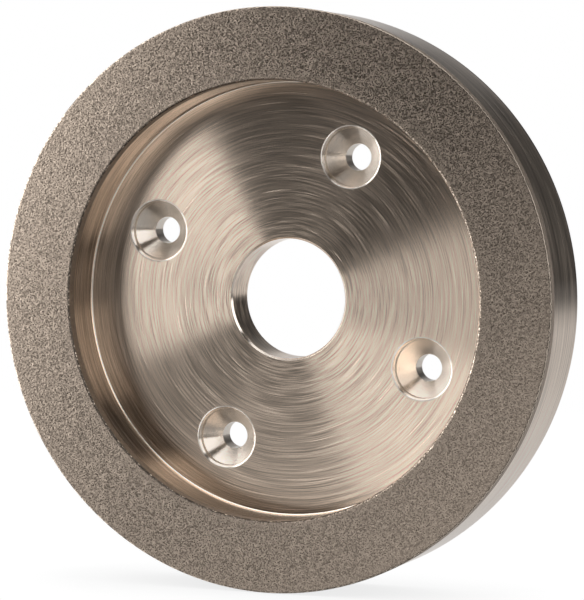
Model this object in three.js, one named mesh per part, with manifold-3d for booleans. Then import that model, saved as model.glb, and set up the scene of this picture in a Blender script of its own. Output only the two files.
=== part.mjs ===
// Plated diamond grinding wheel, bowl shaped, for wet lapidary and cutter work.
// Millimetres. The wheel stands upright: its axis lies along Y, the abrasive rim faces -Y, +Z is up,
// and the origin is on the axis, halfway through the wheel's thickness.
//
// Three pieces, from the inside out: the turned steel core, the nickel bond plated over the
// core's rim, and the layer of diamond grit that the nickel holds.

import * as THREE from 'three';
import { mergeVertices } from 'three/addons/utils/BufferGeometryUtils.js';
import Module from 'manifold-3d';

// Driving dimensions of the finished wheel
const WHEEL_DIAMETER = 152.4;
const THICKNESS = 25.4;
const BORE_DIAMETER = 31.75;
const RIM_WIDTH = 19.05;
const BOWL_DEPTH = 14.29;

// Plated coat: the face of the rim and a short return down both of its walls
const GRIT_THICKNESS = 0.08;
const NICKEL_THICKNESS = 0.12;
const COAT_RETURN = 3.175;
const INNER_LIP_RADIUS = 0.6;
const OUTER_LIP_RADIUS = 0.3;

// Broken edges of the turned core
const FLOOR_CORNER_RADIUS = 0.4;
const BACK_CHAMFER = 0.8;
const BORE_FRONT_CHAMFER = 0.5;

// Countersunk screw holes in the floor of the bowl
const SCREW_COUNT = 4;
const SCREW_CIRCLE_DIAMETER = 82.55;
const SCREW_PHASE_DEGREES = 64.7;
const SCREW_HOLE_DIAMETER = 7.14;
const SINK_RIM_DIAMETER = 16.2;
const SINK_RIM_CHAMFER = 0.5;
const SINK_STEP_DEPTH = 1.9;
const SINK_ANGLE_DEGREES = 90;
const SCREW_BACK_CHAMFER = 0.3;

// Facets
const WHEEL_SEGMENTS = 96;
const HOLE_SEGMENTS = 36;
const LIP_STEPS = 2;
const CORNER_STEPS = 2;

const COAT_THICKNESS = GRIT_THICKNESS + NICKEL_THICKNESS;
const outerRadius = WHEEL_DIAMETER / 2;
const innerRadius = outerRadius - RIM_WIDTH;
const boreRadius = BORE_DIAMETER / 2;
const frontY = -THICKNESS / 2;
const backY = THICKNESS / 2;
const floorY = frontY + BOWL_DEPTH;

const wasm = await Module();
wasm.setup();

// Points of a round from one angle to another, in degrees, about a centre in the section plane
function arc(centreR, centreY, radius, startDegrees, endDegrees, steps) {
  const points = [];
  for (let i = 0; i <= steps; i++) {
    const angle = THREE.MathUtils.degToRad(startDegrees + (endDegrees - startDegrees) * i / steps);
    points.push([centreR + radius * Math.cos(angle), centreY + radius * Math.sin(angle)]);
  }
  return points;
}

// A ring or plug turned about Y from a section of [radius, y] points
function turned(section, segments) {
  const points = section.map(([radius, y]) => new THREE.Vector2(radius, y));
  return new THREE.LatheGeometry(points, segments);
}

// The section closed on itself, for a ring that doesn't touch the axis
function closed(section) {
  return [...section, section[0]];
}

// Section of the rim's surface, a given depth below the finished coat, from one wall to the other
function rimOutline(depth) {
  const innerLip = arc(
    innerRadius + INNER_LIP_RADIUS, frontY + INNER_LIP_RADIUS, INNER_LIP_RADIUS - depth, 180, 270, LIP_STEPS);
  const outerLip = arc(
    outerRadius - OUTER_LIP_RADIUS, frontY + OUTER_LIP_RADIUS, OUTER_LIP_RADIUS - depth, 270, 360, LIP_STEPS);
  return [
    [innerRadius + depth, frontY + COAT_RETURN],
    ...innerLip,
    ...outerLip,
    [outerRadius - depth, frontY + COAT_RETURN],
  ];
}

// A plated layer between two depths below the finished surface
function platedLayer(topDepth, bottomDepth) {
  const section = [...rimOutline(topDepth), ...rimOutline(bottomDepth).reverse()];
  return turned(closed(section), WHEEL_SEGMENTS);
}

function toManifold(geometry) {
  const bare = geometry.clone();
  bare.deleteAttribute('normal');
  bare.deleteAttribute('uv');
  const merged = mergeVertices(bare);
  return new wasm.Manifold(new wasm.Mesh({
    numProp: 3,
    vertProperties: merged.attributes.position.array,
    triVerts: Uint32Array.from(merged.index.array),
  }));
}

function toGeometry(manifold) {
  const mesh = manifold.getMesh();
  const geometry = new THREE.BufferGeometry();
  geometry.setAttribute('position', new THREE.BufferAttribute(mesh.vertProperties, 3));
  geometry.setIndex(new THREE.BufferAttribute(mesh.triVerts, 1));
  geometry.computeVertexNormals();
  return geometry;
}

// The steel body before drilling: rim, bowl, floor, bore and back face
function coreBlank() {
  const bowlRadius = innerRadius + COAT_THICKNESS;
  const rimRadius = outerRadius - COAT_THICKNESS;
  const floorCorner = arc(
    bowlRadius - FLOOR_CORNER_RADIUS, floorY - FLOOR_CORNER_RADIUS, FLOOR_CORNER_RADIUS, 90, 0, CORNER_STEPS);
  const section = [
    [boreRadius, backY - BACK_CHAMFER],
    [boreRadius, floorY + BORE_FRONT_CHAMFER],
    [boreRadius + BORE_FRONT_CHAMFER, floorY],
    ...floorCorner,
    ...rimOutline(COAT_THICKNESS),
    [rimRadius, backY - BACK_CHAMFER],
    [rimRadius - BACK_CHAMFER, backY],
    [boreRadius + BACK_CHAMFER, backY],
  ];
  return turned(closed(section), WHEEL_SEGMENTS);
}

// The shape that a screw hole removes: a chamfered rim, a short step, the countersink and the hole
function screwHoleCutter() {
  const overrun = 1;
  const holeRadius = SCREW_HOLE_DIAMETER / 2;
  const rimRadius = SINK_RIM_DIAMETER / 2;
  const stepRadius = rimRadius - SINK_RIM_CHAMFER;
  const halfAngle = THREE.MathUtils.degToRad(SINK_ANGLE_DEGREES / 2);
  const coneStartY = floorY + SINK_STEP_DEPTH;
  const coneEndY = coneStartY + (stepRadius - holeRadius) / Math.tan(halfAngle);
  return turned([
    [0, floorY - overrun],
    [rimRadius, floorY - overrun],
    [rimRadius, floorY],
    [stepRadius, floorY + SINK_RIM_CHAMFER],
    [stepRadius, coneStartY],
    [holeRadius, coneEndY],
    [holeRadius, backY - SCREW_BACK_CHAMFER],
    [holeRadius + SCREW_BACK_CHAMFER, backY],
    [holeRadius + SCREW_BACK_CHAMFER, backY + overrun],
    [0, backY + overrun],
  ], HOLE_SEGMENTS);
}

function drilledCore() {
  let core = toManifold(coreBlank());
  for (let i = 0; i < SCREW_COUNT; i++) {
    const angle = THREE.MathUtils.degToRad(SCREW_PHASE_DEGREES + i * 360 / SCREW_COUNT);
    const cutter = screwHoleCutter();
    cutter.translate(
      Math.cos(angle) * SCREW_CIRCLE_DIAMETER / 2, 0, Math.sin(angle) * SCREW_CIRCLE_DIAMETER / 2);
    core = core.subtract(toManifold(cutter));
  }
  return toGeometry(core);
}

function piece(name, geometry, color, roughness, metalness) {
  const material = new THREE.MeshStandardMaterial({ color, roughness, metalness });
  const mesh = new THREE.Mesh(geometry, material);
  mesh.name = name;
  return mesh;
}

const wheel = new THREE.Group();
wheel.add(piece('steel_core', drilledCore(), 0xb5a798, 0.32, 1.0));
wheel.add(piece('nickel_bond', platedLayer(GRIT_THICKNESS, COAT_THICKNESS), 0xa89c8d, 0.45, 1.0));
wheel.add(piece('diamond_grit', platedLayer(0, GRIT_THICKNESS), 0x978b7e, 0.85, 0.4));

export default wheel;
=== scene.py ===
"""A plated diamond grinding wheel: turned steel core, nickel bond over its rim, and the diamond grit in it.

The wheel's axis lies along Y, its abrasive rim faces -Y, and Z is up. Lengths are metres.
"""

import math

import bmesh
import bpy
import numpy as np
from mathutils import Matrix, Vector


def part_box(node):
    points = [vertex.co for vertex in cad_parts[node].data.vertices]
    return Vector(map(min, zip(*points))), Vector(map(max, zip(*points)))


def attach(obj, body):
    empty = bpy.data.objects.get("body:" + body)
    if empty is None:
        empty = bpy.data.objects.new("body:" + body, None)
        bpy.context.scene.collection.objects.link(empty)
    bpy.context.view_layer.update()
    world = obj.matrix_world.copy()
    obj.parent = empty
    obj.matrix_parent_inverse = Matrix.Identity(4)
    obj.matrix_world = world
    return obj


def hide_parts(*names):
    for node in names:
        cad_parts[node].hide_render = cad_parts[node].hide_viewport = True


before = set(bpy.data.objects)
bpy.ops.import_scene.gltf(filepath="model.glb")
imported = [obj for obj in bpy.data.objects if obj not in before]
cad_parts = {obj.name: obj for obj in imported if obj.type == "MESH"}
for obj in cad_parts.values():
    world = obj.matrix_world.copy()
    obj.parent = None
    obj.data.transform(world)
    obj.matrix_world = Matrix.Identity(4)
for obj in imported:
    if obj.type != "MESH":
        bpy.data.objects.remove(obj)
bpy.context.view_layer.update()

MM = 0.001

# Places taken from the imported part
core_low, core_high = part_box("steel_core")
coat_low, coat_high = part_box("diamond_grit")
nickel_low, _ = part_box("nickel_bond")
front_y = coat_low.y
back_y = core_high.y
outer_radius = coat_high.x
core_radius = core_high.x
coat_end_y = coat_high.y
grit_depth = nickel_low.y - coat_low.y
coat_depth = core_low.y - coat_low.y

# Details of the wheel that the box of a node doesn't give
RIM_WIDTH = 19.05 * MM
BOWL_DEPTH = 14.29 * MM
BORE_RADIUS = 15.875 * MM
INNER_LIP = 0.6 * MM
OUTER_LIP = 0.3 * MM
FLOOR_CORNER = 0.4 * MM
BACK_CHAMFER = 0.8 * MM
BORE_FRONT_CHAMFER = 0.5 * MM
EDGE_ROUND = 0.12 * MM

HOLE_COUNT = 4
HOLE_CIRCLE = 41.275 * MM
HOLE_PHASE = math.radians(64.7)
HOLE_RADIUS = 3.57 * MM
SINK_RADIUS = 8.1 * MM
SINK_CHAMFER = 0.5 * MM
SINK_RIM_ROUND = 0.3 * MM
SINK_STEP = 1.9 * MM
HOLE_BACK_CHAMFER = 0.3 * MM

inner_radius = outer_radius - RIM_WIDTH
bowl_radius = inner_radius + coat_depth
floor_y = front_y + BOWL_DEPTH

# Fineness of the turned surfaces
SPIN = 480                          # points in a ring
PATCH_HALF = 20                     # half the width of the patch round a screw hole, in points of a ring
PATCH_STEPS = 32                    # rings across a patch
PATCH_REACH = 11 * MM               # from the screw circle to the inner or outer border of a patch
ROUND_STEPS = 5
ROUND_SHARE = 0.45                  # the most that one round may take of a stretch next to it
SUPPORT = 0.06 * MM                 # from the end of a long stretch to the point that supports it
LONG_STRETCH = 6 * SUPPORT
PATCH_LOOPS = (0.7, 0.4, 0.15, SUPPORT / PATCH_REACH, 0)    # from a patch's border (1) to its hole (0)

# The two parts of the coat
NICKEL_SINK = 0.03 * MM             # set deeper than in the CAD, so that less comes through the grains
GRIT_SEED = 7
GRIT_CELL = 0.345 * MM              # from grain to grain along the section of the rim
GRIT_SPIN = 1232                    # grains in a turn
GRIT_JITTER = 0.34                  # how far a grain strays, as a share of a cell
GRIT_TOP = 0.016 * MM               # scale of the grains' heights
GRIT_SPREAD = (1.6, 1.3)            # shape of the spread of heights
GRIT_HEIGHTS = 1.35                 # from the lowest to the highest grain, in GRIT_TOP
GRIT_LOWEST = 0.25                  # the lowest below the CAD's boundary of grit and nickel, in GRIT_TOP
GRIT_UNDERSIDE = 0.05 * MM          # how far the smooth underside lies below the grains
WORN_LIP = 0.22 * MM                # on either side of the outer lip's line, where grains are worn down
WORN_LIP_SHIFT = 0.1                # moves that line towards the outer wall, as a share of the lip
WORN_END = 0.7 * MM                 # at the ends of the coat, where grains thin out
WORN_SPREAD = 0.25                  # unevenness of both
WORN_DEPTH = 0.35                   # how deep a worn place lies, as a share of the layer of grit


# ---------------------------------------------------------------- sections

def arc(centre, radius, start, end, steps=ROUND_STEPS):
    """Points of a round in the section plane, angles in degrees from +r towards +y."""
    angles = [math.radians(start + (end - start) * i / steps) for i in range(steps + 1)]
    return [(centre[0] + radius * math.cos(a), centre[1] + radius * math.sin(a)) for a in angles]


def rounded(points, radius):
    """A section whose inner corners are replaced by small rounds; its two ends stay."""
    result = [points[0]]
    for before, corner, after in zip(points, points[1:], points[2:]):
        c = np.array(corner)
        a = np.array(before) - c
        b = np.array(after) - c
        a_length, b_length = np.linalg.norm(a), np.linalg.norm(b)
        a, b = a / a_length, b / b_length
        half = math.acos(np.clip(a @ b, -1, 1)) / 2
        reach = min(radius / math.tan(half), ROUND_SHARE * a_length, ROUND_SHARE * b_length)
        r = reach * math.tan(half)
        middle = (a + b) / np.linalg.norm(a + b)
        centre = c + middle * (r / math.sin(half))
        start, end = c + a * reach - centre, c + b * reach - centre
        turn = math.atan2(start[0] * end[1] - start[1] * end[0], start @ end)
        for i in range(ROUND_STEPS + 1):
            t = turn * i / ROUND_STEPS
            result.append((centre[0] + start[0] * math.cos(t) - start[1] * math.sin(t),
                           centre[1] + start[0] * math.sin(t) + start[1] * math.cos(t)))
    result.append(points[-1])
    return result


def supported(section):
    """Adds a point close to each end of every long stretch, so that flats stay flat when shaded smooth."""
    result = []
    for a, b in zip(section, section[1:]):
        a, b = np.array(a), np.array(b)
        length = np.linalg.norm(b - a)
        result.append(tuple(a))
        if length > LONG_STRETCH:
            step = (b - a) / length * SUPPORT
            result.append(tuple(a + step))
            result.append(tuple(b - step))
    result.append(section[-1])
    return result


def rim_outline(depth):
    """Section of the rim, a given depth below the finished coat, from the inner wall to the outer wall."""
    inner = arc((inner_radius + INNER_LIP, front_y + INNER_LIP), INNER_LIP - depth, 180, 270)
    outer = arc((outer_radius - OUTER_LIP, front_y + OUTER_LIP), OUTER_LIP - depth, 270, 360)
    return [(inner_radius + depth, coat_end_y)] + inner + outer + [(outer_radius - depth, coat_end_y)]


# ---------------------------------------------------------------- mesh building

class Turning:
    """A mesh made of rings about an axis along Y, with the axis that each face was turned about."""

    def __init__(self):
        self.points = []
        self.faces = []
        self.face_axis = []

    def loop(self, points):
        """Adds points and returns their numbers."""
        start = len(self.points)
        self.points.extend(points)
        return np.arange(start, start + len(points))

    def ring(self, radius, y):
        angles = HOLE_PHASE + np.arange(SPIN) * 2 * math.pi / SPIN
        return self.loop([(radius * math.cos(a), y, radius * math.sin(a)) for a in angles])

    def quad(self, a, b, c, d, axis):
        self.faces.append((a, b, c, d))
        self.face_axis.append(axis)

    def band(self, lower, upper, axis=(0.0, 0.0), skip=()):
        """Faces between two loops of equal length, apart from those to skip."""
        count = len(lower)
        for i in range(count):
            if i in skip:
                continue
            j = (i + 1) % count
            self.quad(lower[i], lower[j], upper[j], upper[i], axis)

    def lathe(self, section, first):
        """Rings along a section. first is the ring that is already there for the section's first point."""
        ring = first
        for radius, y in section[1:]:
            following = self.ring(radius, y)
            self.band(ring, following)
            ring = following
        return ring

    def build(self, name):
        """Makes the object, with its faces turned outwards and no loose points."""
        mesh = bpy.data.meshes.new(name)
        work = bmesh.new()
        vertices = [work.verts.new(p) for p in self.points]
        for face in self.faces:
            work.faces.new([vertices[i] for i in face])
        bmesh.ops.recalc_face_normals(work, faces=work.faces)
        bmesh.ops.delete(work, geom=[v for v in work.verts if not v.link_faces], context="VERTS")
        work.to_mesh(mesh)
        work.free()
        mesh.polygons.foreach_set("use_smooth", np.ones(len(mesh.polygons), bool))
        add_turning_offset(mesh, np.array(self.face_axis))
        piece = bpy.data.objects.new(name, mesh)
        bpy.context.scene.collection.objects.link(piece)
        return piece


def add_turning_offset(mesh, face_axis):
    """Stores at each face corner where it lies from the axis its face was turned about."""
    coords = np.zeros(len(mesh.vertices) * 3)
    mesh.vertices.foreach_get("co", coords)
    coords = coords.reshape(-1, 3)
    corner_vertex = np.zeros(len(mesh.loops), int)
    mesh.loops.foreach_get("vertex_index", corner_vertex)
    sizes = np.zeros(len(mesh.polygons), int)
    mesh.polygons.foreach_get("loop_total", sizes)
    corner_axis = np.repeat(face_axis, sizes, axis=0)
    offset = coords[corner_vertex].copy()
    offset[:, 0] -= corner_axis[:, 0]
    offset[:, 2] -= corner_axis[:, 1]
    attribute = mesh.attributes.new("turning", "FLOAT_VECTOR", "CORNER")
    attribute.data.foreach_set("vector", offset.ravel())


def drilled_plate(turning, y, inner_ring, outer_ring, hole_radius):
    """A flat ring between two rings, with a round opening for each screw. Returns the openings' loops."""
    inner = HOLE_CIRCLE - PATCH_REACH
    outer = HOLE_CIRCLE + PATCH_REACH
    spacing = SPIN // HOLE_COUNT
    patches = [range(i * spacing - PATCH_HALF, i * spacing + PATCH_HALF) for i in range(HOLE_COUNT)]
    skipped = {i % SPIN for patch in patches for i in patch}
    rings = [inner_ring]
    for k in range(1, PATCH_STEPS):
        rings.append(turning.ring(inner + (outer - inner) * k / PATCH_STEPS, y))
    rings.append(outer_ring)
    for lower, upper in zip(rings, rings[1:]):
        turning.band(lower, upper, skip=skipped)
    openings = []
    for i, patch in enumerate(patches):
        centre = hole_centre(i)
        low, high = patch[0], patch[-1] + 1
        edge = [rings[0][k % SPIN] for k in range(low, high)]
        edge += [ring[high % SPIN] for ring in rings[:-1]]
        edge += [rings[-1][k % SPIN] for k in range(high, low, -1)]
        edge += [ring[low % SPIN] for ring in rings[:0:-1]]
        loop = np.array(edge)
        border = np.array([(turning.points[k][0], turning.points[k][2]) for k in edge])
        directions = border - centre
        directions /= np.linalg.norm(directions, axis=1)[:, None]
        circle = centre + directions * hole_radius
        for share in PATCH_LOOPS:
            row = circle + (border - circle) * share
            following = turning.loop([(x, y, z) for x, z in row])
            turning.band(loop, following)
            loop = following
        openings.append((centre, directions, loop))
    return openings


def hole_centre(index):
    """X and Z of a screw hole."""
    angle = HOLE_PHASE + index * 2 * math.pi / HOLE_COUNT
    return np.array([math.cos(angle), math.sin(angle)]) * HOLE_CIRCLE


def build_core():
    """The turned steel body with its four countersunk holes."""
    turning = Turning()
    patch_in = HOLE_CIRCLE - PATCH_REACH
    patch_out = HOLE_CIRCLE + PATCH_REACH
    bore = [
        (patch_in, back_y),
        (BORE_RADIUS + BACK_CHAMFER, back_y),
        (BORE_RADIUS, back_y - BACK_CHAMFER),
        (BORE_RADIUS, floor_y + BORE_FRONT_CHAMFER),
        (BORE_RADIUS + BORE_FRONT_CHAMFER, floor_y),
        (patch_in, floor_y),
    ]
    outside = [(patch_out, floor_y)]
    outside += arc((bowl_radius - FLOOR_CORNER, floor_y - FLOOR_CORNER), FLOOR_CORNER, 90, 0)
    outside += rim_outline(coat_depth)
    outside += rounded([
        (core_radius, coat_end_y + SUPPORT),
        (core_radius, back_y - BACK_CHAMFER),
        (core_radius - BACK_CHAMFER, back_y),
        (patch_out, back_y),
    ], EDGE_ROUND)
    back_inner = turning.ring(patch_in, back_y)
    front_inner = turning.lathe(supported(rounded(bore, EDGE_ROUND)), back_inner)
    front_outer = turning.ring(patch_out, floor_y)
    back_outer = turning.lathe(supported(outside), front_outer)

    rim = rounded([
        (SINK_RADIUS + SINK_RIM_ROUND, floor_y),
        (SINK_RADIUS, floor_y),
        (SINK_RADIUS - SINK_CHAMFER, floor_y + SINK_CHAMFER),
    ], SINK_RIM_ROUND)
    sink = rim[:-1] + rounded([
        rim[-2],
        (SINK_RADIUS - SINK_CHAMFER, floor_y + SINK_CHAMFER),
        (SINK_RADIUS - SINK_CHAMFER, floor_y + SINK_STEP),
        (HOLE_RADIUS, floor_y + SINK_STEP + SINK_RADIUS - SINK_CHAMFER - HOLE_RADIUS),
        (HOLE_RADIUS, back_y - HOLE_BACK_CHAMFER),
        (HOLE_RADIUS + HOLE_BACK_CHAMFER, back_y),
        (HOLE_RADIUS + HOLE_BACK_CHAMFER + EDGE_ROUND, back_y),
    ], EDGE_ROUND)[1:]
    sink = supported(sink)
    fronts = drilled_plate(turning, floor_y, front_inner, front_outer, sink[0][0])
    backs = drilled_plate(turning, back_y, back_inner, back_outer, sink[-1][0])
    for (centre, directions, loop), (_, _, back_loop) in zip(fronts, backs):
        axis = tuple(centre)
        for radius, y in sink[1:-1]:
            row = centre + directions * radius
            following = turning.loop([(x, y, z) for x, z in row])
            turning.band(loop, following, axis)
            loop = following
        turning.band(loop, back_loop, axis)
    return turning.build("turned_core")


def build_nickel():
    """The nickel coat as a closed ring round the rim, lying between the grit and the core."""
    turning = Turning()
    section = supported(rim_outline(grit_depth + NICKEL_SINK) + rim_outline(coat_depth)[::-1])
    first = turning.ring(*section[0])
    last = turning.lathe(section, first)
    turning.band(last, first)
    return turning.build("nickel_plating")


def evenly_spaced(section, cell):
    """Points along a section, one cell apart, with the direction that faces out of the wheel at each."""
    points = np.array(section)
    lengths = np.concatenate([[0], np.cumsum(np.linalg.norm(np.diff(points, axis=0), axis=1))])
    count = int(round(lengths[-1] / cell))
    along = np.linspace(0, lengths[-1], count + 1)
    placed = np.stack([np.interp(along, lengths, points[:, k]) for k in range(2)], 1)
    tangent = np.gradient(placed, axis=0)
    tangent /= np.linalg.norm(tangent, axis=1)[:, None]
    outward = np.stack([tangent[:, 1], -tangent[:, 0]], 1)
    return placed, outward, along, lengths[-1]


def build_grit():
    """The layer of grains: a closed, rough ring whose facets are the faces of the crystals."""
    rng = np.random.default_rng(GRIT_SEED)
    placed, outward, along, total = evenly_spaced(rim_outline(grit_depth), GRIT_CELL)
    rows = len(placed)
    every_other_shifted = np.arange(GRIT_SPIN)[None, :] + 0.5 * (np.arange(rows)[:, None] % 2)
    angle = every_other_shifted * 2 * math.pi / GRIT_SPIN
    angle = angle + rng.uniform(-GRIT_JITTER, GRIT_JITTER, angle.shape) * 2 * math.pi / GRIT_SPIN
    slide = rng.uniform(-GRIT_JITTER, GRIT_JITTER, angle.shape) * GRIT_CELL
    slide[[0, -1]] = 0
    height = rng.beta(*GRIT_SPREAD, angle.shape) * GRIT_TOP * GRIT_HEIGHTS - GRIT_LOWEST * GRIT_TOP

    lip_line = total - (coat_end_y - front_y) + OUTER_LIP * WORN_LIP_SHIFT
    from_lip = np.abs(along - lip_line) / WORN_LIP
    from_end = np.minimum(along, total - along) / WORN_END
    cover = np.minimum(from_lip, from_end)
    kept = np.clip(cover[:, None] + rng.uniform(-WORN_SPREAD, WORN_SPREAD, angle.shape), 0, 1)
    height = height * kept - WORN_DEPTH * grit_depth * (1 - kept)

    tangent = np.stack([-outward[:, 1], outward[:, 0]], 1)
    radius = placed[:, 0, None] + outward[:, 0, None] * height + tangent[:, 0, None] * slide
    depth = placed[:, 1, None] + outward[:, 1, None] * height + tangent[:, 1, None] * slide
    top = np.stack([radius * np.cos(angle), depth, radius * np.sin(angle)], -1)

    below = np.array(rim_outline(grit_depth + GRIT_UNDERSIDE))[::-1]
    below_angle = np.arange(GRIT_SPIN) * 2 * math.pi / GRIT_SPIN
    bottom = np.stack([below[:, 0, None] * np.cos(below_angle),
                       np.broadcast_to(below[:, 1, None], (len(below), GRIT_SPIN)),
                       below[:, 0, None] * np.sin(below_angle)], -1)
    points = np.concatenate([top, bottom]).reshape(-1, 3)
    total_rows = rows + len(below)
    index = np.arange(total_rows * GRIT_SPIN).reshape(total_rows, GRIT_SPIN)
    following = np.roll(index, -1, axis=1)
    lower = np.roll(index, -1, axis=0)
    lower_following = np.roll(following, -1, axis=0)
    odd = (np.arange(total_rows) % 2 == 1)[:, None]
    one_half = np.where(odd[..., None], np.stack([index, lower, lower_following], -1),
                        np.stack([index, lower, following], -1))
    other_half = np.where(odd[..., None], np.stack([index, lower_following, following], -1),
                          np.stack([following, lower, lower_following], -1))
    faces = np.concatenate([one_half.reshape(-1, 3), other_half.reshape(-1, 3)])
    mesh = bpy.data.meshes.new("diamond_grains")
    mesh.from_pydata(points.tolist(), [], faces.tolist())
    mesh.update()
    add_turning_offset(mesh, np.zeros((len(mesh.polygons), 2)))
    piece = bpy.data.objects.new("diamond_grains", mesh)
    bpy.context.scene.collection.objects.link(piece)
    return piece


# ---------------------------------------------------------------- materials

class Nodes:
    """Short names for adding and joining shader nodes."""

    def __init__(self, name):
        self.material = bpy.data.materials.new(name)
        self.material.use_nodes = True
        self.tree = self.material.node_tree
        self.shader = self.tree.nodes["Principled BSDF"]

    def add(self, kind, inputs=None, **settings):
        node = self.tree.nodes.new(kind)
        for key, value in settings.items():
            setattr(node, key, value)
        for key, value in (inputs or {}).items():
            self.join(value, node.inputs[key])
        return node

    def join(self, value, socket):
        if isinstance(value, bpy.types.NodeSocket):
            self.tree.links.new(value, socket)
        else:
            socket.default_value = value

    def math(self, operation, a, b=0.0, c=0.0):
        node = self.add("ShaderNodeMath", operation=operation)
        for socket, value in zip(node.inputs, (a, b, c)):
            self.join(value, socket)
        return node.outputs[0]

    def mix(self, share, a, b):
        """A colour between two colours."""
        node = self.add("ShaderNodeMix", data_type="RGBA")
        self.join(share, node.inputs["Factor"])
        self.join(a, node.inputs["A"])
        self.join(b, node.inputs["B"])
        return node.outputs["Result"]

    def mix_value(self, share, a, b):
        """A number between two numbers."""
        node = self.add("ShaderNodeMix", data_type="FLOAT")
        number_inputs = (node.inputs[0], node.inputs[2], node.inputs[3])
        for socket, item in zip(number_inputs, (share, a, b)):
            self.join(item, socket)
        return node.outputs["Result"]

    def vector(self, operation, a, b=None):
        """A vector operation. For SCALE, b is the number to scale by."""
        node = self.add("ShaderNodeVectorMath", operation=operation)
        self.join(a, node.inputs[0])
        if b is not None:
            self.join(b, node.inputs["Scale" if operation == "SCALE" else 1])
        return node.outputs["Value" if operation == "LENGTH" else "Vector"]

    def ramp(self, value, start, end, low, high):
        """Goes straight from low to high while the value goes from start to end."""
        node = self.add("ShaderNodeMapRange", clamp=True)
        for socket, item in zip(node.inputs, (value, start, end, low, high)):
            self.join(item, socket)
        return node.outputs[0]

    def noise(self, vector, scale, detail=2.0, roughness=0.5):
        node = self.add("ShaderNodeTexNoise", {"Vector": vector, "Scale": scale, "Detail": detail,
                                               "Roughness": roughness})
        return node.outputs["Fac"]


def turning_nodes(nodes):
    """Radius, depth, unit direction from the turning axis, and the direction that the tool moved in."""
    offset = nodes.add("ShaderNodeAttribute", attribute_name="turning").outputs["Vector"]
    parts = nodes.add("ShaderNodeSeparateXYZ", {"Vector": offset})
    flat = nodes.add("ShaderNodeCombineXYZ", {"X": parts.outputs["X"], "Z": parts.outputs["Z"]})
    radius = nodes.vector("LENGTH", flat.outputs[0])
    unit = nodes.vector("NORMALIZE", flat.outputs[0])
    along = nodes.vector("CROSS_PRODUCT", unit, (0, 1, 0))
    return radius, parts.outputs["Y"], unit, along


def streaks(nodes, radius, depth, unit, per_metre, per_turn):
    """Noise round 0 that changes fast across the turning lines and slowly along them, with no seam."""
    across = nodes.math("MULTIPLY", nodes.math("MULTIPLY_ADD", depth, DEPTH_SHARE, radius), per_metre)
    along = nodes.vector("SCALE", unit, per_turn / (2 * math.pi))
    parts = nodes.add("ShaderNodeSeparateXYZ", {"Vector": along})
    place = nodes.add("ShaderNodeCombineXYZ", {
        "X": across, "Y": parts.outputs["X"], "Z": parts.outputs["Z"]})
    return nodes.math("SUBTRACT", nodes.noise(place.outputs[0], scale=1.0, detail=1.0, roughness=0.6), 0.5)


DEPTH_SHARE = 0.4                   # lines per metre of depth, as a share of those per metre of radius
FINE_LINES = (6300, 24)             # lines per metre of radius, and streaks in a turn
CLEAR_LINES = (3900, 14)
STEEL_DARK = (0.555, 0.455, 0.368, 1)
STEEL_LIGHT = (0.995, 0.815, 0.659, 1)
STEEL_CUT = (0.86, 0.80, 0.73, 1)           # slopes, and all of the countersinks
STEEL_CORNER_HIGHLIGHT = (0.97, 0.88, 0.78, 1)        # the round between the bowl's wall and its floor, a paler colour that paints a highlight line along it
NEAR_BORE = (20 * MM, 30 * MM)      # where the clear lines of the floor go over from strong to weaker
SINK_EDGE = (9 * MM, 10 * MM)       # only a countersink is closer than this to the axis it was turned about
BOWL_TO_OUTSIDE = (60 * MM, 70 * MM)        # between the walls inside the rim and the one outside it, where the walls' painted shade is deeper
WALL_TO_FLAT = (0.2, 0.6)           # how far a surface faces along the axis: a wall, and a flat
WALL_ROUGH = 0.12
FLAT_ROUGH = 0.17
FINE_SHARE = 0.6                    # of the fine lines in the scatter
SCATTER = 0.85                      # how much the light lines scatter light instead of mirroring it
LEAN = 0.03                         # tilt of the surface across the lines
TWIST = 0.04                        # and along them
QUARTER_TURN = 0.25                 # highlights stretch across the lines


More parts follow.
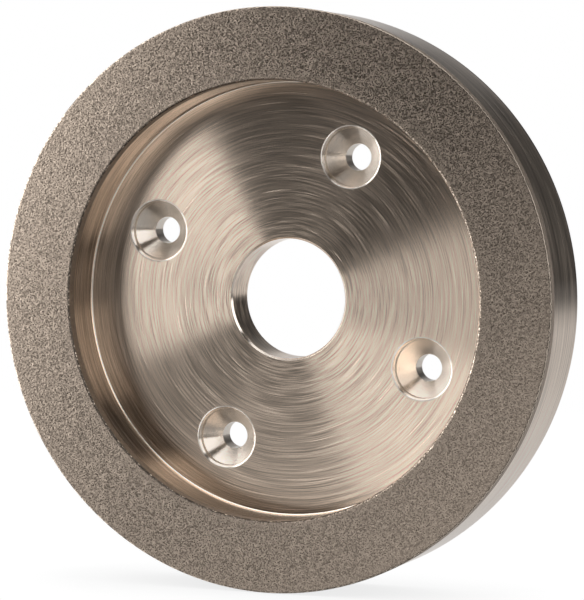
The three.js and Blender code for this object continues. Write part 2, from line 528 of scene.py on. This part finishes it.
def turned_metal():
    """Bright-plated steel with the fine circular lines that the lathe tool left."""
    nodes = Nodes("turned_nickel_steel")
    radius, depth, unit, along = turning_nodes(nodes)
    fine = streaks(nodes, radius, depth, unit, *FINE_LINES)
    lines = streaks(nodes, radius, depth, unit, *CLEAR_LINES)

    near_bore = nodes.ramp(radius, *NEAR_BORE, 1.0, 0.6)
    tone = nodes.math("MULTIPLY_ADD", fine, 1.8, 0.5)
    tone = nodes.math("MULTIPLY_ADD", nodes.math("MULTIPLY", lines, near_bore), 3.2, tone)
    colour = nodes.mix(tone, STEEL_DARK, STEEL_LIGHT)

    shader = nodes.shader
    normal = nodes.add("ShaderNodeNewGeometry").outputs["Normal"]
    facing = nodes.math("ABSOLUTE", nodes.add("ShaderNodeSeparateXYZ", {"Vector": normal}).outputs["Y"])
    sloping = nodes.math("MINIMUM", facing, nodes.math("SUBTRACT", 1.0, facing))
    in_sink = nodes.ramp(radius, *SINK_EDGE, 0.8, 0.0)
    cut = nodes.math("MAXIMUM", nodes.ramp(sloping, 0.03, 0.15, 0.0, 0.8), in_sink)
    colour = nodes.mix(cut, colour, STEEL_CUT)
    # Painted shade: walls facing sideways get a darker colour than the flats, darker still on the wall
    # outside the rim.
    painted_wall_shade = nodes.ramp(radius, *BOWL_TO_OUTSIDE, 0.88, 0.76)
    colour = nodes.vector("SCALE", colour, nodes.ramp(facing, *WALL_TO_FLAT, painted_wall_shade, 1.0))

    from_wall = nodes.math("ABSOLUTE", nodes.math("SUBTRACT", radius, bowl_radius))
    from_floor = nodes.math("ABSOLUTE", nodes.math("SUBTRACT", depth, floor_y))
    # Mask of the round between the bowl's wall and its floor: there the colour goes over to a painted
    # highlight, and roughness and anisotropy change.
    corner = nodes.ramp(nodes.math("MAXIMUM", from_wall, from_floor), 0.25 * MM, 0.4 * MM, 1.0, 0.0)
    nodes.join(nodes.mix(corner, colour, STEEL_CORNER_HIGHLIGHT), shader.inputs["Base Color"])

    both = nodes.math("ADD", lines, nodes.math("MULTIPLY", fine, FINE_SHARE))
    scatter = nodes.math("MULTIPLY_ADD", both, SCATTER, nodes.ramp(facing, *WALL_TO_FLAT, 0.01, -0.01))
    nodes.join(nodes.math("SUBTRACT", 1.0, nodes.math("MAXIMUM", scatter, 0.0)), shader.inputs["Metallic"])
    rough = nodes.ramp(facing, *WALL_TO_FLAT, WALL_ROUGH, FLAT_ROUGH)
    rough = nodes.math("MULTIPLY_ADD", in_sink, 0.1, rough)
    nodes.join(nodes.math("MULTIPLY_ADD", corner, 0.1, rough), shader.inputs["Roughness"])
    nodes.join(nodes.math("SUBTRACT", 1.0, corner), shader.inputs["Anisotropic"])
    nodes.join(QUARTER_TURN, shader.inputs["Anisotropic Rotation"])
    nodes.join(along, shader.inputs["Tangent"])

    across = nodes.vector("CROSS_PRODUCT", along, normal)
    lean = nodes.vector("SCALE", across, nodes.math("MULTIPLY", lines, LEAN))
    twist = nodes.vector("SCALE", along, nodes.math("MULTIPLY", lines, TWIST))
    leaning = nodes.vector("ADD", normal, nodes.vector("ADD", lean, twist))
    nodes.join(nodes.vector("NORMALIZE", leaning), shader.inputs["Normal"])
    return nodes.material


NICKEL_DARK = (0.52, 0.43, 0.35, 1)
NICKEL_LIGHT = (0.78, 0.67, 0.56, 1)
NICKEL_ROUGH = 0.28
NICKEL_LUMPS = 2500                 # per metre


def plated_nickel():
    """Satin nickel with small, low lumps."""
    nodes = Nodes("electroplated_nickel")
    shader = nodes.shader
    place = nodes.add("ShaderNodeTexCoord").outputs["Object"]
    lumps = nodes.noise(place, NICKEL_LUMPS, 3.0)
    nodes.join(nodes.mix(lumps, NICKEL_DARK, NICKEL_LIGHT), shader.inputs["Base Color"])
    nodes.join(1.0, shader.inputs["Metallic"])
    nodes.join(NICKEL_ROUGH, shader.inputs["Roughness"])
    bump = nodes.add("ShaderNodeBump", {"Height": lumps, "Strength": 0.1, "Distance": 0.0001})
    nodes.join(bump.outputs[0], shader.inputs["Normal"])
    return nodes.material


GRIT_DARK = (0.137, 0.111, 0.089, 1)
GRIT_LIGHT = (0.420, 0.345, 0.282, 1)
GRIT_SPOTS = 3600.0                 # spots of one tone per metre
EVEN_TONE = 0.62                    # the tone that the edges of the face tend to
GRIT_ROUGH = 0.22
GRIT_WALL_ROUGH = 0.5
LIP_PAINTED_SHADE = 0.3                     # brightness of the two lips, against the face: a painted shade that dims their highlights


def diamond_in_nickel():
    """Grains of varied tone, more even in tone towards the edges of the face, with painted shade that
    darkens its two lips.
    """
    nodes = Nodes("diamond_grit")
    shader = nodes.shader
    radius, depth, _, _ = turning_nodes(nodes)
    place = nodes.add("ShaderNodeTexCoord").outputs["Object"]
    grains = nodes.add("ShaderNodeTexVoronoi", {"Vector": place, "Scale": GRIT_SPOTS})
    tone = nodes.add("ShaderNodeSeparateColor", {"Color": grains.outputs["Color"]}).outputs[0]
    from_inside = nodes.ramp(radius, inner_radius, inner_radius + 3.5 * MM, 0.6, 0.0)
    from_outside = nodes.ramp(radius, outer_radius - 3 * MM, outer_radius, 0.0, 0.4)
    tone = nodes.mix_value(nodes.math("ADD", from_inside, from_outside), tone, EVEN_TONE)
    colour = nodes.mix(tone, GRIT_DARK, GRIT_LIGHT)
    # Painted shade: the lips' colour is darkened to dim the light lines that their rounds would catch.
    at_inside = nodes.ramp(radius, inner_radius + 0.35 * MM, inner_radius + 0.65 * MM, 1.0, 0.0)
    at_outside = nodes.ramp(radius, outer_radius - 0.55 * MM, outer_radius - 0.25 * MM, 0.0, 1.0)
    at_front = nodes.ramp(depth, front_y + 0.35 * MM, front_y + 0.65 * MM, 1.0, 0.0)
    painted_lip_shade_mask = nodes.math("MULTIPLY", nodes.math("MAXIMUM", at_inside, at_outside), at_front)
    colour = nodes.vector("SCALE", colour, nodes.mix_value(painted_lip_shade_mask, 1.0, LIP_PAINTED_SHADE))
    nodes.join(colour, shader.inputs["Base Color"])
    nodes.join(1.0, shader.inputs["Metallic"])
    normal = nodes.add("ShaderNodeNewGeometry").outputs["Normal"]
    facing = nodes.math("ABSOLUTE", nodes.add("ShaderNodeSeparateXYZ", {"Vector": normal}).outputs["Y"])
    rough = nodes.ramp(facing, 0.2, 0.8, GRIT_WALL_ROUGH, GRIT_ROUGH)
    nodes.join(nodes.math("MULTIPLY_ADD", tone, 0.1, rough), shader.inputs["Roughness"])
    return nodes.material


# ---------------------------------------------------------------- studio

CAMERA_AZIMUTH = math.radians(21.56)
CAMERA_ELEVATION = math.radians(2.96)
CAMERA_DISTANCE = 0.7045
CAMERA_RIGHT = 0.00632              # how far its line of sight passes to the right of the front's middle
CAMERA_UP = 0.00033                 # and above it
LENS = 163.2                        # focal length and sensor width in millimetres
SENSOR = 36
DOME_RADIUS = 0.9
DOME_STEPS = 72                     # from the middle of the front to the middle of the rear
FLOOR_HALF = 0.5


def camera_axes():
    """The camera's backward, rightward and upward directions."""
    back = Vector((math.sin(CAMERA_AZIMUTH) * math.cos(CAMERA_ELEVATION),
                   -math.cos(CAMERA_AZIMUTH) * math.cos(CAMERA_ELEVATION),
                   math.sin(CAMERA_ELEVATION)))
    right = Vector((math.cos(CAMERA_AZIMUTH), math.sin(CAMERA_AZIMUTH), 0))
    return back, right, back.cross(right)


def photo_camera():
    """The camera at the photograph's viewing angle, looking down a long lens."""
    back, right, up = camera_axes()
    data = bpy.data.cameras.new("camera")
    data.lens = LENS
    data.sensor_width = SENSOR
    data.clip_start = 0.01
    camera = bpy.data.objects.new("camera", data)
    bpy.context.scene.collection.objects.link(camera)
    aim = Vector((0, front_y, 0))
    camera.location = aim + back * CAMERA_DISTANCE + right * CAMERA_RIGHT + up * CAMERA_UP
    camera.rotation_mode = "QUATERNION"
    camera.rotation_quaternion = Matrix((right, up, back)).transposed().to_quaternion()
    bpy.context.scene.camera = camera


def rise(value, at, edge):
    """Goes softly from 0 to 1 over a stretch of the given width around a value."""
    share = np.clip((value - at) / edge + 0.5, 0, 1)
    return share * share * (3 - 2 * share)


def between(value, low, high, edge):
    """1 from low to high, with soft ends."""
    return rise(value, low, edge) * (1 - rise(value, high, edge))


def sector(angle, low, high, edge):
    """1 inside a stretch of a full circle, in degrees, with soft ends."""
    from_middle = np.abs((angle - (low + high) / 2 + 180) % 360 - 180)
    return 1 - rise(from_middle, (high - low) / 2, edge)


def soft_boxes(turn, tilt, azimuth, elevation):
    """Brightness of the studio in a direction, all angles in degrees.

    In front of the wheel, tilt is measured from the direction that its flat face mirrors to the camera, and
    turn goes round that direction, from the right by way of the top. Behind it, azimuth goes from +X to +Y.
    """
    front = 1 - rise(tilt, 95, 6)
    rear = 1 - front
    above = rise(elevation, -1, 2)
    in_front = [
        4.9 * sector(turn, 120, 200, 8) * between(tilt, 14, 58, 7),      # large soft box on the left
        0.8 * sector(turn, 120, 200, 8) * rise(tilt, 58, 7),             # its dimmer rear end
        0.65 * sector(turn, 200, 240, 12) * between(tilt, 8, 17, 6),     # its spill on the table
        0.6 * sector(turn, 200, 245, 10) * rise(tilt, 17, 6),            # the same, past the wheel
        1.3 * sector(turn, 200, 245, 10) * between(tilt, 28, 60, 6),     # the same, further out
        0.7 * sector(turn, 240, 290, 10) * between(tilt, 6, 34, 8),      # table in front
        1.2 * sector(turn, 288, 345, 8) * between(tilt, 5, 25, 6),       # small soft box, lower right
        0.6 * sector(turn, 308, 342, 6) * between(tilt, 25, 41, 6),      # its far end
        0.9 * sector(turn, -12, 22, 6) * between(tilt, 9, 34, 6),        # card on the right
        0.4 * sector(turn, 3, 30, 6) * between(tilt, 34, 50, 6),         # its far end
        0.7 * sector(turn, 52, 120, 8) * between(tilt, 29, 46, 6),       # lower edge of the top box
        2.2 * sector(turn, 57, 120, 8) * between(tilt, 46, 76, 8),       # top box
        1.2 * sector(turn, 57, 120, 8) * rise(tilt, 76, 8),              # its dimmer rear end
        2.3 * sector(turn, 0, 40, 6) * rise(tilt, 74, 20),               # side box, far right
        0.45 * sector(turn, 290, 352, 10) * rise(tilt, 66, 20),          # table on the right
    ]
    behind = [
        0.05 + 1.0 * sector(azimuth, 105, 142, 8) * (1 - 0.4 * above),   # wall behind, left
        0.7 * sector(azimuth, 74, 105, 4) * (1 - above),                 # table behind
        0.75 * sector(azimuth, 90, 105, 8) * above * (1 - rise(elevation, 18, 8)),
        0.9 * sector(azimuth, -30, 28, 6),                               # side box
        0.9 * sector(azimuth, 28, 50, 8) * (1 - rise(elevation, 25, 20)),
        0.6 * sector(azimuth, 50, 74, 6) * (1 - rise(elevation, -4, 4)),
        0.9 * rise(elevation, 42, 15),                                   # ceiling
    ]
    return front * sum(in_front) + rear * sum(behind)


def light_dome():
    """A dome of soft boxes round the wheel, which the camera doesn't see."""
    back, right, up = camera_axes()
    middle = Vector((-back.x, back.y, -back.z))
    upward = (Vector((0, 0, 1)) - middle * middle.z).normalized()
    side = upward.cross(middle)
    tilt, turn = np.meshgrid(np.linspace(0, math.pi, DOME_STEPS + 1),
                             np.arange(2 * DOME_STEPS) * math.pi / DOME_STEPS, indexing="ij")
    direction = (np.cos(tilt)[..., None] * np.array(middle)
                 + (np.sin(tilt) * np.cos(turn))[..., None] * np.array(side)
                 + (np.sin(tilt) * np.sin(turn))[..., None] * np.array(upward))
    azimuth = np.degrees(np.arctan2(direction[..., 1], direction[..., 0]))
    elevation = np.degrees(np.arcsin(np.clip(direction[..., 2], -1, 1)))
    glow = soft_boxes(np.degrees(turn), np.degrees(tilt), azimuth, elevation)
    index = np.arange(glow.size).reshape(glow.shape)
    following = np.roll(index, -1, axis=1)
    quads = np.stack([index[:-1], following[:-1], following[1:], index[1:]], -1).reshape(-1, 4)
    mesh = bpy.data.meshes.new("light_dome")
    mesh.from_pydata((direction.reshape(-1, 3) * DOME_RADIUS).tolist(), [], quads.tolist())
    attribute = mesh.attributes.new("glow", "FLOAT", "POINT")
    attribute.data.foreach_set("value", glow.ravel())
    nodes = Nodes("soft_box_light")
    brightness = nodes.add("ShaderNodeAttribute", attribute_name="glow").outputs["Fac"]
    emission = nodes.add("ShaderNodeEmission", {"Strength": brightness})
    # The white sheet adds no light, since outside the dome it is dark for every ray but the camera's own.
    # It gives what the metal mirrors a surface colour, which keeps the fine lines from being smoothed away.
    sheet = nodes.add("ShaderNodeBsdfTranslucent", {"Color": (1, 1, 1, 1)})
    lit_sheet = nodes.add("ShaderNodeAddShader")
    nodes.join(emission.outputs[0], lit_sheet.inputs[0])
    nodes.join(sheet.outputs[0], lit_sheet.inputs[1])
    nodes.join(lit_sheet.outputs[0], nodes.tree.nodes["Material Output"].inputs["Surface"])
    mesh.materials.append(nodes.material)
    dome = bpy.data.objects.new("light_dome", mesh)
    bpy.context.scene.collection.objects.link(dome)
    dome.visible_camera = False


def studio_floor():
    """A pale floor that runs into the white backdrop, with a painted contact shadow under the wheel. Only
    the camera sees it, so it lights nothing.
    """
    mesh = bpy.data.meshes.new("studio_floor")
    sides = [(-1, -1), (1, -1), (1, 1), (-1, 1)]
    corners = [(x * FLOOR_HALF, y * FLOOR_HALF, -outer_radius) for x, y in sides]
    mesh.from_pydata(corners, [], [(0, 1, 2, 3)])
    floor = bpy.data.objects.new("studio_floor", mesh)
    bpy.context.scene.collection.objects.link(floor)
    nodes = Nodes("pale_floor")
    # Painted shadow: the floor's glow is dimmed where ambient occlusion finds the wheel close by.
    shade = nodes.add("ShaderNodeAmbientOcclusion", {"Distance": 0.03}, samples=4).outputs["AO"]
    grain = nodes.noise(nodes.add("ShaderNodeTexCoord").outputs["Object"], 60.0)
    glow_with_painted_shadow = nodes.math("MULTIPLY_ADD", grain, 0.02, nodes.ramp(shade, 0.0, 0.9, 0.80, 1.0))
    emission = nodes.add("ShaderNodeEmission", {"Strength": glow_with_painted_shadow})
    nodes.join(emission.outputs[0], nodes.tree.nodes["Material Output"].inputs["Surface"])
    mesh.materials.append(nodes.material)
    for kind in ("diffuse", "glossy", "transmission", "shadow"):
        setattr(floor, "visible_" + kind, False)


def white_backdrop():
    """What the camera sees behind everything: plain white, which lights nothing."""
    world = bpy.data.worlds.new("backdrop")
    world.use_nodes = True
    background = world.node_tree.nodes["Background"]
    background.inputs["Color"].default_value = (1, 1, 1, 1)
    ray = world.node_tree.nodes.new("ShaderNodeLightPath")
    world.node_tree.links.new(ray.outputs["Is Camera Ray"], background.inputs["Strength"])
    bpy.context.scene.world = world


# ---------------------------------------------------------------- assembly

PIECES = [
    (build_core, turned_metal, "steel_core", "turned_steel"),
    (build_nickel, plated_nickel, "nickel_bond", "nickel_plate"),
    (build_grit, diamond_in_nickel, "diamond_grit", "diamond_abrasive"),
]
for build_piece, make_material, cad_node, material_slot in PIECES:
    piece = build_piece()
    piece.data.materials.append(make_material())
    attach(piece, "root")
    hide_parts(cad_node)

photo_camera()
light_dome()
studio_floor()
white_backdrop()
bpy.context.scene.view_settings.view_transform = "Standard"
